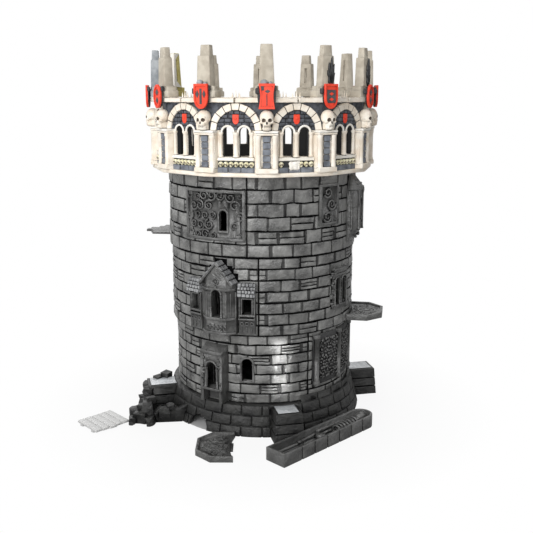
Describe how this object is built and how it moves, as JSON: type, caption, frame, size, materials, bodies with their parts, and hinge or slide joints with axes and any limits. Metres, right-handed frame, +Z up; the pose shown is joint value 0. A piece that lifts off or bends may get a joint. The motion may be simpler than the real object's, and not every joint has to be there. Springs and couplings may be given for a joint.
{
  "type": "miniature terrain ruin",
  "caption": "Round ruined stone tower for tabletop miniatures: stacked dark storeys on a battered plinth under a painted open gallery, with a balcony, a tomb and a plank platform.",
  "frame": {"origin": "tower's axis on the table, at the centre of the plinth's underside", "axes": "+Z up the tower's axis; -Y is the front with the gabled bay and the tomb; +X is the side with the plugged balcony"},
  "size_m": [0.3026, 0.2752, 0.3555],
  "materials": {
    "bare_dark_plastic": "moulded, satin",
    "painted_cream_stone": "hand painted, matt",
    "painted_red": "hand painted, satin",
    "black_paint": "hand painted, matt",
    "primed_pale_plastic": "primed, matt"
  },
  "bodies": {
    "base": {"plinth": "bare_dark_plastic", "buttress_front": "bare_dark_plastic", "buttress_right": "bare_dark_plastic", "buttress_rear": "bare_dark_plastic", "buttress_left": "bare_dark_plastic", "ruin_wall": "bare_dark_plastic", "ground_wall_1": "bare_dark_plastic", "ground_wall_2": "bare_dark_plastic", "ground_wall_3": "bare_dark_plastic", "ground_wall_4": "bare_dark_plastic", "ground_bay": "bare_dark_plastic", "ground_bay_hood": "bare_dark_plastic", "blind_arcade": "bare_dark_plastic"},
    "middle_storey": {"middle_floor": "bare_dark_plastic", "middle_wall_1": "bare_dark_plastic", "middle_wall_2": "bare_dark_plastic", "middle_wall_3": "bare_dark_plastic", "middle_wall_4": "bare_dark_plastic", "gable_bay": "bare_dark_plastic", "gable_roof": "bare_dark_plastic", "side_window_left": "bare_dark_plastic", "side_window_right": "bare_dark_plastic", "ruined_window": "bare_dark_plastic"},
    "balcony": {"balcony": "bare_dark_plastic"},
    "upper_storey": {"upper_floor": "bare_dark_plastic", "upper_wall_1": "bare_dark_plastic", "upper_wall_2": "bare_dark_plastic", "upper_wall_3": "bare_dark_plastic", "upper_wall_4": "bare_dark_plastic", "relief_panel": "bare_dark_plastic", "side_relief": "bare_dark_plastic", "oriel": "bare_dark_plastic", "oriel_roof": "bare_dark_plastic", "plank_landing": "bare_dark_plastic"},
    "gallery": {"gallery_floor": "painted_cream_stone", "gallery_bay_1": "painted_cream_stone", "gallery_bay_2": "painted_cream_stone", "gallery_bay_3": "painted_cream_stone", "gallery_bay_4": "painted_cream_stone", "gallery_bay_5": "painted_cream_stone", "gallery_bay_6": "painted_cream_stone", "gallery_bay_7": "painted_cream_stone", "gallery_bay_8": "painted_cream_stone", "gallery_bay_9": "painted_cream_stone", "gallery_bay_10": "painted_cream_stone", "gallery_bay_11": "painted_cream_stone", "gallery_bay_12": "painted_cream_stone", "gallery_piers": "painted_cream_stone", "cornice": "painted_cream_stone", "obelisks": "painted_cream_stone", "shields": "painted_red", "badges": "painted_red", "flames": "black_paint"},
    "loose_balcony": {"loose_balcony": "bare_dark_plastic"},
    "tomb": {"tomb_box": "bare_dark_plastic", "tomb_effigy": "bare_dark_plastic"},
    "platform": {"plank_platform": "primed_pale_plastic", "platform_battens": "primed_pale_plastic"}
  },
  "joints": [
    {"name": "middle_storey_lift", "type": "slide", "parent": "base", "child": "middle_storey", "axis": [0, 0, 1], "range_m": [0, 0.08]},
    {"name": "upper_storey_lift", "type": "slide", "parent": "middle_storey", "child": "upper_storey", "axis": [0, 0, 1], "range_m": [0, 0.08]},
    {"name": "gallery_lift", "type": "slide", "parent": "upper_storey", "child": "gallery", "axis": [0, 0, 1], "range_m": [0, 0.08]},
    {"name": "balcony_pull", "type": "slide", "parent": "middle_storey", "child": "balcony", "axis": [0.9848, -0.1736, 0], "range_m": [0, 0.03]},
    {"name": "loose_balcony_lift", "type": "slide", "parent": "base", "child": "loose_balcony", "axis": [0, 0, 1], "range_m": [0, 0.05]},
    {"name": "tomb_lift", "type": "slide", "parent": "base", "child": "tomb", "axis": [0, 0, 1], "range_m": [0, 0.05]},
    {"name": "platform_lift", "type": "slide", "parent": "base", "child": "platform", "axis": [0, 0, 1], "range_m": [0, 0.05]}
  ]
}
